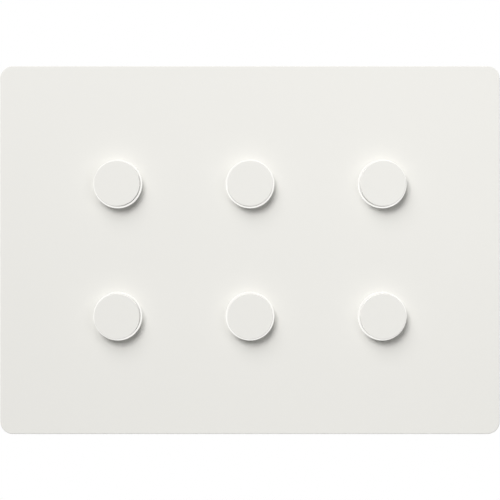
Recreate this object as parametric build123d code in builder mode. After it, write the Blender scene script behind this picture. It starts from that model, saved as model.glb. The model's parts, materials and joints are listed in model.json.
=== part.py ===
import os
from math import sqrt

from build123d import *

# Wall-mounted lighting keypad with six round buttons, in millimetres.
# X runs to the right and Z up as seen from the room; the room is towards -Y and the wall behind +Y.
# The origin is the middle of the wall box screws on the wall's surface.
# A level is a distance in front of the wall; a negative level lies inside the wall box.

# Faceplate
plate_width = 120.0
plate_height = 88.4
plate_corner_radius = 3.0
plate_inner_corner_radius = 1.5
plate_edge_radius = 0.2
plate_front_wall = 2.2
plate_rim_wall = 2.0
rest_rib_inset = 6.0
rest_rib_length = 18.0
rest_rib_thickness = 1.4
rest_rib_slot_gap = 12.0
pry_notch_width = 10.0
pry_notch_depth = 1.0
hook_spacing = 42.0
hook_width = 8.0
hook_thickness = 1.4
hook_catch = 0.9
hook_gap = 0.2
hook_play = 0.1
hook_root_radius = 0.6

# Buttons
button_pitch = 31.75
button_columns = 3
button_rows = 2
button_diameter = 10.9
button_projection = 3.5
button_edge_radius = 0.12
button_web = 2.0
button_wall = 1.1
button_flange_step = 0.95
button_flange_thickness = 1.0
button_stem_diameter = 3.8
button_rib_thickness = 0.8
button_rib_setback = 1.0
button_travel = 0.8
button_rest_gap = 0.1

# Light rings
ring_wall = 0.35
ring_running_clearance = 0.05
ring_fit_clearance = 0.02
ring_flange_thickness = 1.0
ring_flange_seat = 0.6
ring_flange_bevel = 0.3

# Tactile switches and ring lamps
switch_side = 6.0
switch_corner = 0.7
switch_body_height = 2.0
switch_floor = 0.4
plunger_diameter = 3.3
plunger_clearance = 0.08
plunger_reserve = 0.8
plunger_rest_depth = 0.6
press_room = 0.3
led_width = 2.8
led_length = 3.5
led_height = 0.8
led_wall_gap = 0.3
led_cup_diameter = 2.2
led_cup_floor_diameter = 1.6
led_cup_depth = 0.4

# Button carrier
carrier_sheet = 1.2
carrier_lip = 1.5
carrier_corner_radius = 2.0
well_bore_diameter = 16.4
well_wall = 1.0
carrier_rib_thickness = 1.2
carrier_rib_height = 1.6
screw_boss_wall = 1.0

# Circuit board
board_thickness = 1.6
board_side_margin = 11.25
board_end_margin = 11.125
board_corner_radius = 1.5

# Mounting yoke and wall box screws
yoke_thickness = 1.2
yoke_rim_gap = 2.0
yoke_corner_radius = 2.5
yoke_window_corner_radius = 3.0
box_screw_spacing = 83.5
box_slot_length = 7.0
box_slot_width = 4.2
box_slot_land = 6.25
box_screw_head_room = 2.25
box_screw_notch_width = 11.0
window_height = 34.0
bead_length = 84.0
bead_width = 3.6
bead_depth = 0.8
bead_side_angle = 35.0

# Rear housing
housing_depth = 14.0
housing_wall = 1.8
housing_land = 3.0
housing_corner_radius = 4.0
housing_back_edge_radius = 1.5
housing_boss_wall = 2.0
housing_pilot_depth = 9.5
housing_grip_count = 5
housing_grip_pitch = 3.0
housing_grip_width = 1.2
housing_grip_depth = 0.5
housing_grip_length = 8.0

# Assembly screws
screw_land = 4.0
screw_diameter = 2.4
screw_head_diameter = 4.6
screw_head_height = 1.7
screw_seat = 1.5
screw_clearance = 0.15
screw_pilot_clearance = 0.05
screw_drive_diameter = 2.2
screw_drive_width = 0.6
screw_drive_depth = 0.9

# Wire terminal
terminal_ways = 4
terminal_pitch = 5.08
terminal_end = 2.6
terminal_height = 9.0
header_depth = 8.5
header_floor = 2.0
header_wall = 0.9
plug_clearance = 0.15
plug_window_clearance = 0.3
plug_stand = 0.6
wire_entry_diameter = 2.6
wire_entry_depth = 7.0
wire_entry_drop = 1.6
release_width = 2.0
release_height = 1.4
release_depth = 0.8
release_rise = 2.4
pin_side = 1.0
pin_reach = 4.0

# Parts on the back of the board, each placed by its middle (x, z)
microcontroller_place = (-20.0, 6.0)
microcontroller_side = 7.0
microcontroller_height = 0.9
transceiver_place = (19.0, 8.0)
transceiver_width = 4.9
transceiver_length = 3.9
transceiver_height = 1.5
regulator_place = (18.0, -3.0)
regulator_width = 6.5
regulator_length = 3.5
regulator_height = 1.7
chip_edge = 0.3
inductor_place = (25.0, -9.0)
inductor_side = 6.0
inductor_height = 3.0
inductor_corner_radius = 1.2
capacitor_place = (-22.0, -8.0)
capacitor_diameter = 6.3
capacitor_height = 7.7
capacitor_base_side = 6.6
capacitor_base_height = 1.2
capacitor_edge_radius = 0.5

# Levels of the stack, from the wall forwards
board_back = yoke_thickness
board_front = board_back + board_thickness
switch_top = board_front + switch_body_height
plunger_top = switch_top + button_travel + plunger_reserve
flange_back = switch_top + press_room + button_travel
flange_front = flange_back + button_flange_thickness
ring_back = flange_front + button_rest_gap
plate_inner = ring_back + ring_flange_thickness
plate_front = plate_inner + plate_front_wall
button_face = plate_front + button_projection
web_back = button_face - button_web
screw_seat_level = board_front + screw_seat

# Radii of the nest of button, ring, bore and well
button_radius = button_diameter / 2
button_flange_radius = button_radius + button_flange_step
button_hollow_radius = button_radius - button_wall
ring_inner_radius = button_radius + ring_running_clearance
ring_outer_radius = ring_inner_radius + ring_wall
plate_bore_radius = ring_outer_radius + ring_fit_clearance
well_bore_radius = well_bore_diameter / 2
well_outer_radius = well_bore_radius + well_wall
ring_flange_radius = well_bore_radius + ring_flange_seat
plunger_radius = plunger_diameter / 2
screw_radius = screw_diameter / 2
screw_head_radius = screw_head_diameter / 2
screw_head_bore_radius = screw_head_radius + screw_clearance
screw_boss_radius = screw_head_bore_radius + screw_boss_wall

# Outlines that follow the buttons, the faceplate and the wall box
board_width = (button_columns - 1) * button_pitch + 2 * board_side_margin
board_height = (button_rows - 1) * button_pitch + 2 * board_end_margin
carrier_height = board_height + 2 * carrier_lip
yoke_width = plate_width - 2 * (plate_rim_wall + yoke_rim_gap)
yoke_height = plate_height - 2 * (plate_rim_wall + yoke_rim_gap)
window_width = box_screw_spacing - box_slot_length - 2 * box_slot_land
housing_width = window_width + 2 * housing_land
screw_x = button_pitch / 2
screw_z = window_height / 2 + screw_land
housing_boss_radius = screw_radius + screw_pilot_clearance + housing_boss_wall
housing_height = 2 * (screw_z + housing_boss_radius)
bead_z = (yoke_height / 2 + carrier_height / 2 + hook_gap + hook_thickness) / 2
notch_inner = (box_screw_spacing - box_slot_length) / 2 - box_screw_head_room
notch_outer = board_width / 2
terminal_width = (terminal_ways - 1) * terminal_pitch + 2 * terminal_end

button_places = [
    ((column - (button_columns - 1) / 2) * button_pitch, ((button_rows - 1) / 2 - row) * button_pitch)
    for row in range(button_rows)
    for column in range(button_columns)
]
screw_places = [(x, z) for x in (-screw_x, screw_x) for z in (-screw_z, screw_z)]


def facing(level, place=(0.0, 0.0)):
    """Plane parallel to the wall at a level, looking into the room, centred on a place (x, z)."""
    return Plane(origin=(place[0], -level, place[1]), x_dir=(1, 0, 0), z_dir=(0, -1, 0))


def section(place=(0.0, 0.0)):
    """Plane through a press axis, for half sections drawn as (radius, level)."""
    return Plane(origin=(place[0], 0, place[1]), x_dir=(1, 0, 0), z_dir=(0, 0, -1))


def press_axis(place):
    """Axis of one round piece, square to the wall."""
    return Axis((place[0], 0, place[1]), (0, -1, 0))


def save(piece, name):
    """Label a finished piece and write it under its own name."""
    piece.part.label = name
    export_step(piece.part, f"parts/{name}.step")


os.makedirs("parts", exist_ok=True)

# Faceplate: a moulded shell with a bore for each light ring, hooks for the carrier and ribs on the yoke
hook_inner = carrier_height / 2 + hook_gap
hook_outer = hook_inner + hook_thickness
nose_front = board_front - hook_play
nose_back = board_back + hook_play
rest_rib_x = yoke_width / 2 - rest_rib_inset
rest_rib_z = (rest_rib_slot_gap + rest_rib_length) / 2

with BuildPart() as faceplate:
    with BuildSketch(facing(0)):
        RectangleRounded(plate_width, plate_height, plate_corner_radius)
    extrude(amount=plate_front)
    fillet(faceplate.faces().sort_by(Axis.Y)[0].edges(), plate_edge_radius)
    with BuildSketch(facing(0)):
        RectangleRounded(
            plate_width - 2 * plate_rim_wall, plate_height - 2 * plate_rim_wall, plate_inner_corner_radius
        )
    extrude(amount=plate_inner, mode=Mode.SUBTRACT)
    with BuildSketch(facing(plate_inner)):
        with Locations(*button_places):
            Circle(plate_bore_radius)
    extrude(amount=plate_front_wall, mode=Mode.SUBTRACT)
    with BuildSketch(facing(plate_inner)):
        with Locations((-rest_rib_x, rest_rib_z), (rest_rib_x, rest_rib_z)):
            Rectangle(rest_rib_thickness, rest_rib_length)
        with Locations((-rest_rib_x, -rest_rib_z), (rest_rib_x, -rest_rib_z)):
            Rectangle(rest_rib_thickness, rest_rib_length)
    extrude(amount=yoke_thickness - plate_inner)
    for hook_side in (-1, 1):
        hook_middle = hook_side * hook_spacing / 2
        with BuildSketch(Plane.YZ.offset(hook_middle - hook_width / 2)):
            with BuildLine():
                Polyline(
                    (-plate_inner, hook_inner),
                    (-nose_front, hook_inner),
                    (-nose_front, hook_inner - hook_catch),
                    (-nose_back, hook_inner),
                    (-nose_back, hook_outer),
                    (-plate_inner, hook_outer),
                    close=True,
                )
            make_face()
            mirror(about=Plane.XZ)
        extrude(amount=hook_width)
    with BuildSketch(Plane.XY.offset(-plate_height / 2)):
        with Locations((0, -pry_notch_depth / 2)):
            Rectangle(pry_notch_width, pry_notch_depth)
    extrude(amount=plate_rim_wall, mode=Mode.SUBTRACT)
    hook_roots = (
        faceplate.edges()
        .filter_by(Axis.X)
        .filter_by_position(Axis.Y, -plate_inner, -plate_inner)
        .filter_by(lambda edge: abs(edge.length - hook_width) < hook_play)
    )
    fillet(hook_roots, hook_root_radius)
save(faceplate, "faceplate")

# Buttons: hollow caps with a retaining flange, a stem on the switch and cross ribs that stiffen the stem
for number, place in enumerate(button_places, start=1):
    with BuildPart() as button:
        with BuildSketch(section(place)):
            with BuildLine():
                Polyline(
                    (0, plunger_top),
                    (button_stem_diameter / 2, plunger_top),
                    (button_stem_diameter / 2, web_back),
                    (button_hollow_radius, web_back),
                    (button_hollow_radius, flange_back),
                    (button_flange_radius, flange_back),
                    (button_flange_radius, flange_front),
                    (button_radius, flange_front),
                    (button_radius, button_face),
                    (0, button_face),
                    close=True,
                )
            make_face()
        revolve(axis=press_axis(place))
        fillet(button.faces().sort_by(Axis.Y)[0].edges(), button_edge_radius)
        with BuildSketch(facing(plunger_top + button_rib_setback, place)):
            Rectangle(2 * button_radius - button_wall, button_rib_thickness)
            Rectangle(button_rib_thickness, 2 * button_radius - button_wall)
        extrude(until=Until.NEXT)
    save(button, f"button_{number}")

# Light rings: opal guides with a thin nose flush with the faceplate and a flange over the lamps
for number, place in enumerate(button_places, start=1):
    with BuildPart() as light_ring:
        with BuildSketch(section(place)):
            with BuildLine():
                Polyline(
                    (ring_inner_radius, ring_back),
                    (ring_flange_radius, ring_back),
                    (ring_flange_radius, plate_inner - ring_flange_bevel),
                    (ring_flange_radius - ring_flange_bevel, plate_inner),
                    (ring_outer_radius, plate_inner),
                    (ring_outer_radius, plate_front),
                    (ring_inner_radius, plate_front),
                    close=True,
                )
            make_face()
        revolve(axis=press_axis(place))
    save(light_ring, f"light_ring_{number}")

# Tactile switches: square bodies with a guided plunger that the button's stem rests on
plunger_back = switch_top - plunger_rest_depth
plunger_bore_radius = plunger_radius + plunger_clearance
plunger_bore_depth = switch_body_height - switch_floor

for number, place in enumerate(button_places, start=1):
    with BuildPart() as switch_body:
        with BuildSketch(facing(board_front, place)):
            square = Rectangle(switch_side, switch_side)
            chamfer(square.vertices(), switch_corner)
        extrude(amount=switch_body_height)
        with BuildSketch(facing(switch_top, place)):
            Circle(plunger_bore_radius)
        extrude(amount=-plunger_bore_depth, mode=Mode.SUBTRACT)
    save(switch_body, f"switch_body_{number}")

    with BuildPart() as switch_plunger:
        with BuildSketch(facing(plunger_back, place)):
            Circle(plunger_radius)
        extrude(amount=plunger_top - plunger_back)
    save(switch_plunger, f"switch_plunger_{number}")

# Ring lamps: flat bodies with a cone-shaped cup, one each side of a switch inside the well
led_reach = sqrt((well_bore_radius - led_wall_gap) ** 2 - (led_length / 2) ** 2)
led_offset = led_reach - led_width / 2

for number, place in enumerate(button_places, start=1):
    for side_name, side in (("left", -1), ("right", 1)):
        lamp_place = (place[0] + side * led_offset, place[1])
        with BuildPart() as ring_led:
            with BuildSketch(facing(board_front, lamp_place)):
                Rectangle(led_width, led_length)
            extrude(amount=led_height)
            with BuildSketch(facing(board_front + led_height, lamp_place)):
                Circle(led_cup_diameter / 2)
            with BuildSketch(facing(board_front + led_height - led_cup_depth, lamp_place)):
                Circle(led_cup_floor_diameter / 2)
            loft(mode=Mode.SUBTRACT)
        save(ring_led, f"ring_led_{number}_{side_name}")

# Button carrier: a moulded sheet with a light well round each switch, ribs and counterbored screw bosses
rib_top = board_front + carrier_sheet + carrier_rib_height

with BuildPart() as button_carrier:
    with BuildSketch(facing(board_front)):
        RectangleRounded(board_width, carrier_height, carrier_corner_radius)
    extrude(amount=carrier_sheet)
    with BuildSketch(facing(board_front)):
        with Locations(*button_places):
            Circle(well_outer_radius)
    extrude(amount=ring_back - board_front)
    with BuildSketch(facing(board_front)):
        with GridLocations(0, button_pitch, 1, button_rows):
            Rectangle((button_columns - 1) * button_pitch, carrier_rib_thickness)
        with GridLocations(button_pitch, 0, button_columns, 1):
            Rectangle(carrier_rib_thickness, (button_rows - 1) * button_pitch)
    extrude(amount=rib_top - board_front)
    with BuildSketch(facing(board_front)):
        with Locations(*screw_places):
            Circle(screw_boss_radius)
    extrude(amount=screw_seat + screw_head_height)
    with BuildSketch(facing(board_front)):
        with Locations(*button_places):
            Circle(well_bore_radius)
    extrude(amount=ring_back - board_front, mode=Mode.SUBTRACT)
    with BuildSketch(facing(board_front)):
        with Locations(*screw_places):
            Circle(screw_radius + screw_clearance)
    extrude(amount=screw_seat, mode=Mode.SUBTRACT)
    with BuildSketch(facing(screw_seat_level)):
        with Locations(*screw_places):
            Circle(screw_head_bore_radius)
    extrude(amount=screw_head_height, mode=Mode.SUBTRACT)
    with BuildSketch(facing(board_front)):
        with Locations(((notch_inner + notch_outer) / 2, 0), (-(notch_inner + notch_outer) / 2, 0)):
            Rectangle(notch_outer - notch_inner, box_screw_notch_width)
    extrude(amount=carrier_sheet, mode=Mode.SUBTRACT)
save(button_carrier, "button_carrier")

# Circuit board: laminate cut to the carrier's outline, open for the wall box screws
with BuildPart() as circuit_board:
    with BuildSketch(facing(board_back)):
        RectangleRounded(board_width, board_height, board_corner_radius)
        with Locations(*screw_places):
            Circle(screw_radius + screw_clearance, mode=Mode.SUBTRACT)
        with Locations(((notch_inner + notch_outer) / 2, 0), (-(notch_inner + notch_outer) / 2, 0)):
            Rectangle(notch_outer - notch_inner, box_screw_notch_width, mode=Mode.SUBTRACT)
    extrude(amount=board_thickness)
save(circuit_board, "circuit_board")

# Mounting yoke: pressed steel plate with a window for the housing, a slot for each wall box screw
# and two stiffening beads pressed towards the room
with BuildPart() as mounting_yoke:
    with BuildSketch(facing(0)):
        RectangleRounded(yoke_width, yoke_height, yoke_corner_radius)
        RectangleRounded(window_width, window_height, yoke_window_corner_radius, mode=Mode.SUBTRACT)
        with Locations((-box_screw_spacing / 2, 0), (box_screw_spacing / 2, 0)):
            SlotOverall(box_slot_length, box_slot_width, mode=Mode.SUBTRACT)
        with Locations(*screw_places):
            Circle(screw_radius + screw_clearance, mode=Mode.SUBTRACT)
    extrude(amount=yoke_thickness)
    with BuildSketch(facing(yoke_thickness)):
        with GridLocations(0, 2 * bead_z, 1, 2):
            SlotOverall(bead_length + bead_depth, bead_width + bead_depth)
    extrude(amount=bead_depth, taper=bead_side_angle)
    with BuildSketch(facing(0)):
        with GridLocations(0, 2 * bead_z, 1, 2):
            SlotOverall(bead_length, bead_width)
    extrude(amount=bead_depth, taper=bead_side_angle, mode=Mode.SUBTRACT)
save(mounting_yoke, "mounting_yoke")

# Rear housing: a moulded box behind the yoke, with screw bosses, side grips and a window for the plug
housing_inner_depth = housing_depth - housing_wall

with BuildPart() as rear_housing:
    with BuildSketch(facing(-housing_depth)):
        RectangleRounded(housing_width, housing_height, housing_corner_radius)
    extrude(amount=housing_depth)
    fillet(rear_housing.faces().sort_by(Axis.Y)[-1].edges(), housing_back_edge_radius)
    with BuildSketch(facing(0)):
        RectangleRounded(
            housing_width - 2 * housing_wall,
            housing_height - 2 * housing_wall,
            housing_corner_radius - housing_wall,
        )
    extrude(amount=-housing_inner_depth, mode=Mode.SUBTRACT)
    with BuildSketch(facing(0)):
        with Locations(*screw_places):
            Circle(housing_boss_radius)
    extrude(amount=-housing_inner_depth)
    with BuildSketch(facing(0)):
        with Locations(*screw_places):
            Circle(screw_radius + screw_pilot_clearance)
    extrude(amount=-housing_pilot_depth, mode=Mode.SUBTRACT)
    with BuildSketch(facing(-housing_depth)):
        Rectangle(terminal_width + 2 * plug_window_clearance, terminal_height + 2 * plug_window_clearance)
    extrude(amount=housing_wall, mode=Mode.SUBTRACT)
    for grip_side in (-1, 1):
        with BuildSketch(Plane.YZ.offset(grip_side * housing_width / 2)):
            with Locations((housing_depth / 2, 0)):
                with GridLocations(0, housing_grip_pitch, 1, housing_grip_count):
                    SlotOverall(housing_grip_length, housing_grip_width)
        extrude(amount=-grip_side * housing_grip_depth, mode=Mode.SUBTRACT)
save(rear_housing, "rear_housing")

# Assembly screws: cross-slotted pan heads on the carrier's seats, shanks down into the housing bosses
screw_tip = -housing_pilot_depth + screw_clearance

with BuildPart() as assembly_screws:
    with BuildSketch(facing(screw_tip)):
        with Locations(*screw_places):
            Circle(screw_radius)
    extrude(amount=screw_seat_level - screw_tip)
    with BuildSketch(facing(screw_seat_level)):
        with Locations(*screw_places):
            Circle(screw_head_radius)
    extrude(amount=screw_head_height)
    with BuildSketch(facing(screw_seat_level + screw_head_height)):
        with Locations(*screw_places):
            Rectangle(screw_drive_diameter, screw_drive_width)
            Rectangle(screw_drive_width, screw_drive_diameter)
    extrude(amount=-screw_drive_depth, mode=Mode.SUBTRACT)
save(assembly_screws, "assembly_screws")

# Wire terminal: a shrouded header on the board's back, its pins, and the plug that takes the wires
header_back = board_back - header_depth
plug_nose_front = board_back - header_floor - plug_clearance
plug_shoulder = header_back - plug_clearance
plug_back = -housing_depth - plug_stand
plug_nose_width = terminal_width - 2 * (header_wall + plug_clearance)
plug_nose_height = terminal_height - 2 * (header_wall + plug_clearance)
pin_end = board_back - header_floor - pin_reach
pin_socket_side = pin_side + 2 * plug_clearance

with BuildPart() as terminal_header:
    with BuildSketch(facing(header_back)):
        Rectangle(terminal_width, terminal_height)
    extrude(amount=header_depth)
    with BuildSketch(facing(header_back)):
        Rectangle(terminal_width - 2 * header_wall, terminal_height - 2 * header_wall)
    extrude(amount=header_depth - header_floor, mode=Mode.SUBTRACT)
    with BuildSketch(facing(board_back)):
        with GridLocations(terminal_pitch, 0, terminal_ways, 1):
            Rectangle(pin_socket_side, pin_socket_side)
    extrude(amount=-header_floor, mode=Mode.SUBTRACT)
save(terminal_header, "terminal_header")

with BuildPart() as terminal_pins:
    with BuildSketch(facing(pin_end)):
        with GridLocations(terminal_pitch, 0, terminal_ways, 1):
            Rectangle(pin_side, pin_side)
    extrude(amount=board_back - pin_end)
save(terminal_pins, "terminal_pins")

with BuildPart() as terminal_plug:
    with BuildSketch(facing(plug_shoulder)):
        Rectangle(plug_nose_width, plug_nose_height)
    extrude(amount=plug_nose_front - plug_shoulder)
    with BuildSketch(facing(plug_back)):
        Rectangle(terminal_width, terminal_height)
    extrude(amount=plug_shoulder - plug_back)
    with BuildSketch(facing(plug_nose_front)):
        with GridLocations(terminal_pitch, 0, terminal_ways, 1):
            Rectangle(pin_socket_side, pin_socket_side)
    extrude(amount=pin_end - plug_clearance - plug_nose_front, mode=Mode.SUBTRACT)
    with BuildSketch(facing(plug_back)):
        with Locations((0, -wire_entry_drop)):
            with GridLocations(terminal_pitch, 0, terminal_ways, 1):
                Circle(wire_entry_diameter / 2)
    extrude(amount=wire_entry_depth, mode=Mode.SUBTRACT)
    with BuildSketch(facing(plug_back)):
        with Locations((0, release_rise)):
            with GridLocations(terminal_pitch, 0, terminal_ways, 1):
                Rectangle(release_width, release_height)
    extrude(amount=release_depth, mode=Mode.SUBTRACT)
save(terminal_plug, "terminal_plug")

# Board parts: flat chips with bevelled tops, a shielded coil and a can capacitor on its base
chips = (
    ("microcontroller", microcontroller_place, microcontroller_side, microcontroller_side),
    ("bus_transceiver", transceiver_place, transceiver_width, transceiver_length),
    ("voltage_regulator", regulator_place, regulator_width, regulator_length),
)
chip_heights = (microcontroller_height, transceiver_height, regulator_height)
for (name, place, width, length), height in zip(chips, chip_heights):
    with BuildPart() as chip:
        with BuildSketch(facing(board_back, place)):
            Rectangle(width, length)
        extrude(amount=-height)
        chamfer(chip.faces().sort_by(Axis.Y)[-1].edges(), chip_edge)
    save(chip, name)

with BuildPart() as power_inductor:
    with BuildSketch(facing(board_back, inductor_place)):
        RectangleRounded(inductor_side, inductor_side, inductor_corner_radius)
    extrude(amount=-inductor_height)
    chamfer(power_inductor.faces().sort_by(Axis.Y)[-1].edges(), chip_edge)
save(power_inductor, "power_inductor")

with BuildPart() as reservoir_capacitor:
    with BuildSketch(facing(board_back, capacitor_place)):
        Rectangle(capacitor_base_side, capacitor_base_side)
    extrude(amount=-capacitor_base_height)
    with BuildSketch(facing(board_back - capacitor_base_height, capacitor_place)):
        Circle(capacitor_diameter / 2)
    extrude(amount=capacitor_base_height - capacitor_height)
    fillet(reservoir_capacitor.faces().sort_by(Axis.Y)[-1].edges(), capacitor_edge_radius)
save(reservoir_capacitor, "reservoir_capacitor")
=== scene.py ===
import json
import math

import bmesh
import bpy
from mathutils import Matrix, Vector


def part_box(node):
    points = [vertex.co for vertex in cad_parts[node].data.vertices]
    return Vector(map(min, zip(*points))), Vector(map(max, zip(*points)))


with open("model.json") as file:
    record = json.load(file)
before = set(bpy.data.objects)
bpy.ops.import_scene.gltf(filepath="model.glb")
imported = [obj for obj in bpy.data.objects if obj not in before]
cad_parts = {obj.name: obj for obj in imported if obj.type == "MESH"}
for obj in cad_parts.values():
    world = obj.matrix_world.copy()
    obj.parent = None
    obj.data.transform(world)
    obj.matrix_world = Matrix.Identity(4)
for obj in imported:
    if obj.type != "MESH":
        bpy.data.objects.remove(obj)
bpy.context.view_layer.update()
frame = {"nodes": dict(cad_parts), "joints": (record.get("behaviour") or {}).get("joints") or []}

# Faceplate.
# A moulded shell in matt off-white, with a fine even mould grain and a crisp front edge.
# It clips over the yoke from the front, so no screw shows.


class Wire:
    """One socket of a finish; sums on wires add their Math nodes."""

    def __init__(self, socket):
        self.socket = socket
        self.tree = socket.id_data

    def make(self, kind, settings=None, sockets=None, output=0):
        """Any other node: its type, its settings and the values or wires of its sockets."""
        node = self.tree.nodes.new(kind)
        for name, value in (settings or {}).items():
            setattr(node, name, value)
        for name, value in (sockets or {}).items():
            if isinstance(value, Wire):
                self.tree.links.new(value.socket, node.inputs[name])
            else:
                node.inputs[name].default_value = value
        return Wire(node.outputs[output])

    def sum(self, operation, first, second):
        """A Math node on two wires or numbers."""
        return self.make("ShaderNodeMath", {"operation": operation}, {0: first, 1: second})

    def __add__(self, other):
        return self.sum("ADD", self, other)

    __radd__ = __add__

    def __mul__(self, other):
        return self.sum("MULTIPLY", self, other)

    __rmul__ = __mul__


def start_finish(name):
    """A new material with a bare shader: returns it, its shader and a wire of object coordinates."""
    material = bpy.data.materials.new(name)
    material.use_nodes = True
    tree = material.node_tree
    shader = tree.nodes["Principled BSDF"]
    place = Wire(tree.nodes.new("ShaderNodeTexCoord").outputs["Object"])
    return material, shader, place


def feed(shader, name, wire):
    """Wire a varying value into one of the shader's sockets."""
    shader.id_data.links.new(wire.socket, shader.inputs[name])


def noise(place, scale, detail):
    """Soft random shading, with so many spots to a metre."""
    return place.make("ShaderNodeTexNoise", None, {"Vector": place, "Scale": scale, "Detail": detail})


def blend(share, dark, light):
    """A colour between two, by the share of the second; a Mix node's colour sockets go by number."""
    dark_socket = 6
    light_socket = 7
    mixed_socket = 2
    return share.make(
        "ShaderNodeMix",
        {"data_type": "RGBA"},
        {"Factor": share, dark_socket: (*dark, 1.0), light_socket: (*light, 1.0)},
        output=mixed_socket,
    )


def relief(shader, height, strength, depth):
    """Bump the surface by a height wire, to a full depth in metres; the strength scales its slopes."""
    bump = height.make("ShaderNodeBump", None, {"Strength": strength, "Distance": depth, "Height": height})
    feed(shader, "Normal", bump)


mould_cloud_scale = 55.0
mould_cloud_detail = 3.0
mould_cloud_share = 0.6
mould_grain_detail = 2.0
mould_gloss_drift = 0.12
mould_scatter = 0.6
mould_relief = 0.35


def moulded(name, colour, roughness, grain, depth, tint):
    """Matt plastic: an even colour with faint clouds, and a mould grain of a given size and depth."""
    material, shader, place = start_finish(name)
    cloud = noise(place, mould_cloud_scale, mould_cloud_detail)
    fine = noise(place, 1 / grain, mould_grain_detail)
    dark = [part * (1 - tint) for part in colour]
    light = [min(1.0, part * (1 + tint)) for part in colour]
    share = mould_cloud_share * cloud + (1 - mould_cloud_share) * fine
    feed(shader, "Base Color", blend(share, dark, light))
    feed(shader, "Roughness", roughness - mould_gloss_drift / 2 + mould_gloss_drift * fine)
    shader.inputs["Diffuse Roughness"].default_value = mould_scatter
    relief(shader, fine, mould_relief, depth)
    return material


def dress(node_names, material):
    """Give carried-over pieces their finish."""
    for node_name in node_names:
        for slot in frame["nodes"][node_name].material_slots:
            slot.material = material


plate_white = (0.765, 0.758, 0.728)
plate_skin = {"roughness": 0.55, "grain": 0.00025, "depth": 0.00001, "tint": 0.006}
plate_finish = moulded("faceplate_matt_white", plate_white, **plate_skin)
dress(["faceplate"], plate_finish)

# Buttons.
# Round hollow caps moulded in the faceplate's off-white, each with a crisp edge round its flat front.
# Each runs in the bore of its light ring and rests on the switch plunger behind it.

button_numbers = range(1, len(frame["joints"]) + 1)
button_finish = moulded("button_matt_white", plate_white, **plate_skin)
dress([f"button_{number}" for number in button_numbers], button_finish)

# Light rings.
# Opal light guides with a thin nose flush with the faceplate, lit from behind in warm white.
# A flange behind the faceplate spreads the light of two lamps round the ring.

ring_glow = (1.0, 0.99, 0.955)
ring_glow_dim = [0.96 * part for part in ring_glow]
ring_glow_strength = 0.95
ring_dark = (0.015, 0.015, 0.0145)
ring_light = (0.03, 0.03, 0.029)
ring_gloss = 0.3
ring_gloss_drift = 0.1
ring_cloud_scale = 180.0
ring_cloud_detail = 1.0

ring_finish, ring_shader, ring_place = start_finish("light_ring_opal")
ring_cloud = noise(ring_place, ring_cloud_scale, ring_cloud_detail)
feed(ring_shader, "Emission Color", blend(ring_cloud, ring_glow_dim, ring_glow))
ring_shader.inputs["Emission Strength"].default_value = ring_glow_strength
feed(ring_shader, "Base Color", blend(ring_cloud, ring_dark, ring_light))
feed(ring_shader, "Roughness", ring_gloss + ring_gloss_drift * ring_cloud)
dress([f"light_ring_{number}" for number in button_numbers], ring_finish)

# Button carrier.
# One black moulded sheet with a light well for each button, so no light leaks between the rings.
# It clamps the rings against the faceplate and is screwed through the board to the housing.

carrier_black = (0.028, 0.028, 0.03)
carrier_finish = moulded(
    "carrier_matt_black", carrier_black, roughness=0.5, grain=0.0004, depth=0.000012, tint=0.2
)
dress(["button_carrier"], carrier_finish)

# Tactile switches.
# One small black nylon switch soldered to the board under each button.
# Its grey plunger carries the button's stem and gives the click.

switch_black = (0.035, 0.035, 0.037)
switch_finish = moulded("switch_black", switch_black, roughness=0.38, grain=0.0002, depth=0.000006, tint=0.15)
dress([f"switch_body_{number}" for number in button_numbers], switch_finish)

plunger_grey = (0.33, 0.33, 0.32)
plunger_finish = moulded(
    "plunger_grey", plunger_grey, roughness=0.42, grain=0.0002, depth=0.000005, tint=0.06
)
dress([f"switch_plunger_{number}" for number in button_numbers], plunger_finish)

# Lamps.
# Two surface-mounted lamps under each light ring, soldered to the board on either side of the switch.
# Each is a small pale body, yellowish from the phosphor in it.

lamp_cream = (0.84, 0.80, 0.62)
lamp_finish = moulded("lamp_white", lamp_cream, roughness=0.4, grain=0.0003, depth=0.000005, tint=0.04)
for lamp_side in ("left", "right"):
    dress([f"ring_led_{number}_{lamp_side}" for number in button_numbers], lamp_finish)

# Circuit board.
# Glass-fibre laminate under green solder mask, with the copper tracks showing lighter through it.
# It lies on the yoke and is held by the four assembly screws.

track_width = 0.00016
track_pitch = 0.0011
track_run = 0.0067
track_stagger = 0.37
track_height = 0.00003
track_relief = 0.4
track_share = 0.75
weave_scale = 900.0
weave_detail = 2.0
weave_share = 0.2
board_dark = (0.008, 0.075, 0.030)
board_light = (0.030, 0.170, 0.070)
board_gloss = 0.30
board_gloss_drift = 0.12
bare = (0.0, 0.0, 0.0, 1.0)
copper = (1.0, 1.0, 1.0, 1.0)

board_finish, board_shader, board_place = start_finish("board_green")
flat_turn = (math.pi / 2, 0, 0)
board_flat = board_place.make("ShaderNodeMapping", None, {"Vector": board_place, "Rotation": flat_turn})
tracks = board_place.make(
    "ShaderNodeTexBrick",
    {"offset": track_stagger},
    {
        "Vector": board_flat,
        "Color1": bare,
        "Color2": bare,
        "Mortar": copper,
        "Scale": 1.0,
        "Mortar Size": track_width,
        "Brick Width": track_run,
        "Row Height": track_pitch,
    },
)
weave = noise(board_place, weave_scale, weave_detail)
feed(board_shader, "Base Color", blend(track_share * tracks + weave_share * weave, board_dark, board_light))
feed(board_shader, "Roughness", board_gloss + board_gloss_drift * weave)
relief(board_shader, tracks, track_relief, track_height)
dress(["circuit_board"], board_finish)

# Board parts.
# Moulded black chips, a ferrite inductor and a capacitor in an aluminium can,
# all soldered to the back of the board.

metal_patch_share = 0.6
metal_patch_drift = 0.10
metal_fine_drift = 0.06
metal_fine_per_grain = 6
metal_fine_detail = 3.0
metal_relief = 0.25


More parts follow.
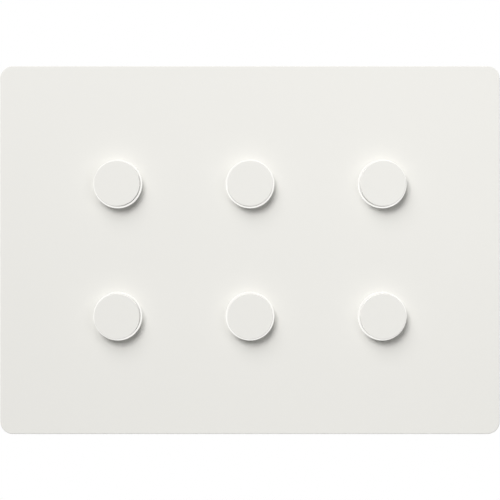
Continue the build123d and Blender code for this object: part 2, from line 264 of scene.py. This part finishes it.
def metal(name, dark, light, roughness, grain, depth):
    """Bare or plated metal: colour and gloss drift over grains of a given size."""
    material, shader, place = start_finish(name)
    grains = place.make("ShaderNodeTexVoronoi", None, {"Vector": place, "Scale": 1 / grain}, output="Color")
    patch = place.make("ShaderNodeRGBToBW", None, {"Color": grains})
    fine = noise(place, metal_fine_per_grain / grain, metal_fine_detail)
    share = metal_patch_share * patch + (1 - metal_patch_share) * fine
    smoothest = roughness - (metal_patch_drift + metal_fine_drift) / 2
    feed(shader, "Base Color", blend(share, dark, light))
    feed(shader, "Roughness", smoothest + metal_patch_drift * patch + metal_fine_drift * fine)
    shader.inputs["Metallic"].default_value = 1.0
    relief(shader, fine, metal_relief, depth)
    return material


chip_black = (0.022, 0.022, 0.023)
chip_finish = moulded("chip_black", chip_black, roughness=0.55, grain=0.00012, depth=0.000006, tint=0.2)
dress(["microcontroller", "bus_transceiver", "voltage_regulator"], chip_finish)

ferrite_grey = (0.075, 0.075, 0.078)
ferrite_finish = moulded("ferrite_grey", ferrite_grey, roughness=0.6, grain=0.00018, depth=0.00001, tint=0.15)
dress(["power_inductor"], ferrite_finish)

can_dark = (0.70, 0.70, 0.70)
can_light = (0.82, 0.82, 0.82)
can_finish = metal("capacitor_can", can_dark, can_light, roughness=0.34, grain=0.0009, depth=0.000004)
dress(["reservoir_capacitor"], can_finish)

# Wire terminal.
# A green nylon header soldered to the back of the board, with four tinned pins.
# The plug for the bus wires pushes into it through a window in the housing.

terminal_green = (0.045, 0.28, 0.095)
terminal_finish = moulded(
    "terminal_green", terminal_green, roughness=0.42, grain=0.0003, depth=0.000008, tint=0.06
)
dress(["terminal_header", "terminal_plug"], terminal_finish)

tin_dark = (0.66, 0.65, 0.62)
tin_light = (0.80, 0.79, 0.76)
pin_finish = metal("tinned_pin", tin_dark, tin_light, roughness=0.30, grain=0.0006, depth=0.000003)
dress(["terminal_pins"], pin_finish)

# Mounting yoke.
# A pressed steel sheet with a hot-dip zinc coat that shows its crystals.
# It is screwed to the wall box through its two slots and carries everything else.

zinc_dark = (0.52, 0.53, 0.54)
zinc_light = (0.70, 0.71, 0.72)
yoke_finish = metal("zinc_steel", zinc_dark, zinc_light, roughness=0.36, grain=0.0045, depth=0.000006)
dress(["mounting_yoke"], yoke_finish)

# Rear housing.
# A box moulded in dark grey plastic with a coarse grain. It goes into the wall box and covers
# the back of the board, and four bosses inside it take the assembly screws.

housing_grey = (0.10, 0.10, 0.11)
housing_finish = moulded("housing_grey", housing_grey, roughness=0.5, grain=0.0011, depth=0.001, tint=0.10)
dress(["rear_housing"], housing_finish)

# Assembly screws.
# Four pan-head steel screws with a bright plated finish.
# They go through carrier, board and yoke into the bosses of the housing.

steel_dark = (0.50, 0.50, 0.51)
steel_light = (0.68, 0.68, 0.69)
screw_finish = metal("screw_steel", steel_dark, steel_light, roughness=0.30, grain=0.0007, depth=0.000004)
dress(["assembly_screws"], screw_finish)

# Stage.
# A white backdrop, a camera square to the plate, and a pale floor well below the keypad.
# The floor fades out to white and is open from beneath. A soft key and a wide side light
# come from the upper left, and a small fill from the right.

plate_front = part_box("faceplate")[0][1]
camera_distance = 0.476
camera_near = 0.01
frame_width = 0.120084
sensor_width = 36.0

camera_data = bpy.data.cameras.new("camera")
camera_data.sensor_width = sensor_width
camera_data.lens = sensor_width * camera_distance / frame_width
camera_data.clip_start = camera_near
camera = bpy.data.objects.new("camera", camera_data)
camera.location = (0.0, plate_front - camera_distance, 0.0)
camera.rotation_euler = (math.pi / 2, 0.0, 0.0)
bpy.context.scene.collection.objects.link(camera)
bpy.context.scene.camera = camera


def shine_from(data, polar, azimuth, distance):
    """Aim a light at the plate's middle from so many degrees off its axis, and round from the right."""
    off_axis = math.sin(math.radians(polar))
    towards = Vector(
        (
            off_axis * math.cos(math.radians(azimuth)),
            -math.cos(math.radians(polar)),
            off_axis * math.sin(math.radians(azimuth)),
        )
    )
    light = bpy.data.objects.new(data.name, data)
    light.location = Vector((0.0, plate_front, 0.0)) + distance * towards
    light.rotation_euler = towards.to_track_quat("Z", "Y").to_euler()
    light.visible_camera = False
    bpy.context.scene.collection.objects.link(light)


key_data = bpy.data.lights.new("key", "SUN")
key_data.energy = 1.705
key_data.angle = math.radians(23.0)
shine_from(key_data, polar=28.0, azimuth=122.0, distance=1.0)

side_data = bpy.data.lights.new("side", "AREA")
side_data.shape = "DISK"
side_data.size = 0.475
side_data.energy = 2.11
shine_from(side_data, polar=45.0, azimuth=109.0, distance=0.6)

fill_data = bpy.data.lights.new("fill", "AREA")
fill_data.shape = "DISK"
fill_data.size = 0.095
fill_data.energy = 0.0585
shine_from(fill_data, polar=28.0, azimuth=24.0, distance=0.22)

ambient = 0.125
backdrop_fade = 0.35

world = bpy.data.worlds.new("studio")
world.use_nodes = True
background = world.node_tree.nodes["Background"]
light_path = world.node_tree.nodes.new("ShaderNodeLightPath")
seen = Wire(light_path.outputs["Is Camera Ray"])
seen = seen + Wire(light_path.outputs["Is Glossy Ray"])
seen = seen + Wire(light_path.outputs["Is Transmission Ray"])
sky = Wire(world.node_tree.nodes.new("ShaderNodeTexCoord").outputs["Generated"])
sky_depth = sky.make("ShaderNodeSeparateXYZ", None, {"Vector": sky}, output="Y")
backdrop = sky.make(
    "ShaderNodeMapRange",
    {"interpolation_type": "SMOOTHSTEP"},
    {"Value": sky_depth, "From Min": 0.0, "From Max": backdrop_fade},
)
background.inputs["Color"].default_value = (1.0, 1.0, 1.0, 1.0)
feed(background, "Strength", ambient + (1 - ambient) * sky.sum("MAXIMUM", seen, backdrop))
bpy.context.scene.world = world

floor_radius = 0.34
floor_fade = 0.5 * floor_radius
floor_middle = (0.0, 0.22, -0.13)
floor_sides = 96
floor_dark = (0.90, 0.90, 0.90)
floor_light = (0.93, 0.93, 0.93)
floor_gloss = 0.85
floor_gloss_drift = 0.1
floor_grain_scale = 400.0
floor_grain_detail = 2.0

floor_mesh = bpy.data.meshes.new("floor")
floor_form = bmesh.new()
bmesh.ops.create_circle(
    floor_form,
    cap_ends=True,
    segments=floor_sides,
    radius=floor_radius,
    matrix=Matrix.Translation(floor_middle),
)
floor_form.to_mesh(floor_mesh)
floor_form.free()

floor_finish, floor_shader, floor_place = start_finish("floor_pale")
floor_spot = floor_place.make(
    "ShaderNodeVectorMath", {"operation": "DISTANCE"}, {0: floor_place, 1: floor_middle}, output="Value"
)
floor_edge = floor_place.make(
    "ShaderNodeMapRange",
    {"interpolation_type": "SMOOTHSTEP"},
    {"Value": floor_spot, "From Min": floor_fade, "From Max": floor_radius},
)
floor_grain = noise(floor_place, floor_grain_scale, floor_grain_detail)
feed(floor_shader, "Base Color", blend(floor_grain, floor_dark, floor_light))
feed(floor_shader, "Roughness", floor_gloss + floor_gloss_drift * floor_grain)
floor_under = floor_place.make("ShaderNodeNewGeometry", output="Backfacing")
floor_gone = floor_place.sum("MAXIMUM", floor_edge, floor_under)
clear = floor_place.make("ShaderNodeBsdfTransparent")
solid = Wire(floor_shader.outputs["BSDF"])
faded = floor_place.make("ShaderNodeMixShader", None, {"Fac": floor_gone, 1: solid, 2: clear})
feed(floor_finish.node_tree.nodes["Material Output"], "Surface", faded)
floor_mesh.materials.append(floor_finish)
floor = bpy.data.objects.new("floor", floor_mesh)
bpy.context.scene.collection.objects.link(floor)

bpy.context.scene.view_settings.view_transform = "Standard"
